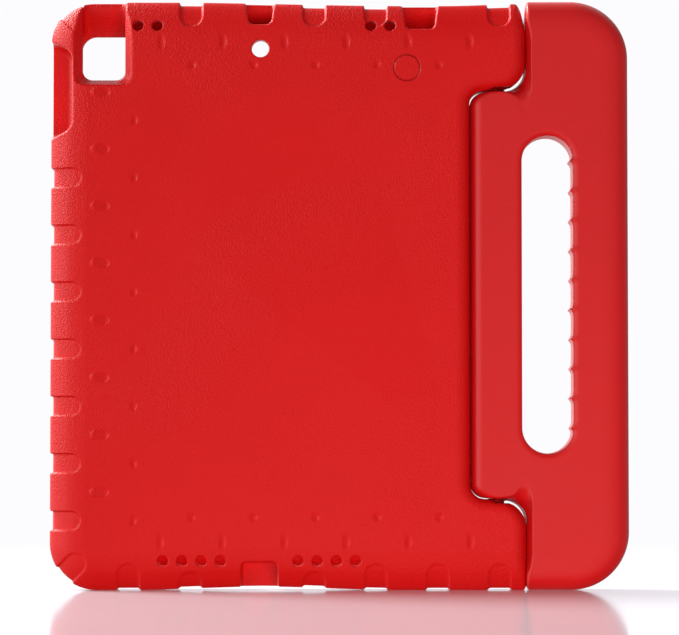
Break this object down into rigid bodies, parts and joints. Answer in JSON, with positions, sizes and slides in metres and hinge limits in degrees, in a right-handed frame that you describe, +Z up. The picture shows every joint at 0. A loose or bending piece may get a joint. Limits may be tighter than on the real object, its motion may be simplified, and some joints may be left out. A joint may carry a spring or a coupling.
{
  "type": "tablet case",
  "caption": "Foam bumper case for a tablet, open at the screen side, with a swinging carry handle that folds back as a stand.",
  "frame": {"origin": "centre of the standing footprint, on the floor", "axes": "+Z up along the tablet's long side, +X from the shell towards the handle, +Y out of the screen side"},
  "size_m": [0.271, 0.02, 0.2764],
  "materials": {
    "shell_foam": "moulded closed-cell foam, fine leather grain, matt",
    "handle_foam": "moulded closed-cell foam, smooth skin, satin",
    "hinge_nylon": "moulded nylon"
  },
  "bodies": {
    "shell": {"case_shell": "shell_foam", "upper_ear_bush": "hinge_nylon", "lower_ear_bush": "hinge_nylon"},
    "handle": {"carry_handle": "handle_foam", "upper_hinge_pin": "hinge_nylon", "lower_hinge_pin": "hinge_nylon"}
  },
  "joints": [
    {"name": "handle_swing", "type": "hinge", "parent": "shell", "child": "handle", "pos_m": [0.0742, 0, 0.1382], "axis": [0, 0, -1], "range_deg": [0, 115]}
  ]
}
